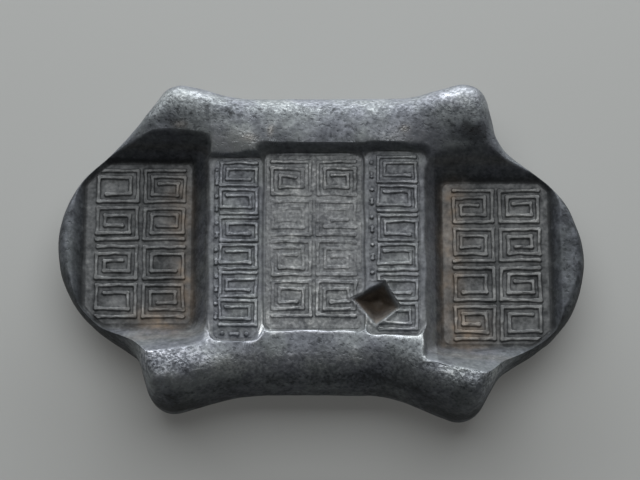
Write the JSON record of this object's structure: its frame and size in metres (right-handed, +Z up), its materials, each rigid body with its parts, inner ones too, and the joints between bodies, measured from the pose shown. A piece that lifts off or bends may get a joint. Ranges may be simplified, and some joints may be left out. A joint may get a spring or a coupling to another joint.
{
  "type": "silver sycee ingot",
  "caption": "Saddle-shaped cast silver sycee ingot: rolled side ridges ending in horns, rounded wings and die-struck troughs; a hand-sized weight for trade or display.",
  "frame": {"origin": "centre of the plan, on the plane that the ingot stands on", "axes": "+X along the length to the right wing, +Y across the width to the rear ridge, +Z up"},
  "size_m": [0.066, 0.0432, 0.013],
  "materials": {
    "cast_silver": "tarnished silver, rough cast skin worn paler on the ridges",
    "struck_silver": "tarnished silver, struck smooth, brown in the hollows"
  },
  "bodies": {
    "root": {"cast_body": "cast_silver", "left_wing_stamp": "struck_silver", "right_wing_stamp": "struck_silver", "left_column_stamp": "struck_silver", "centre_stamp": "struck_silver", "right_column_stamp": "struck_silver"}
  },
  "joints": []
}
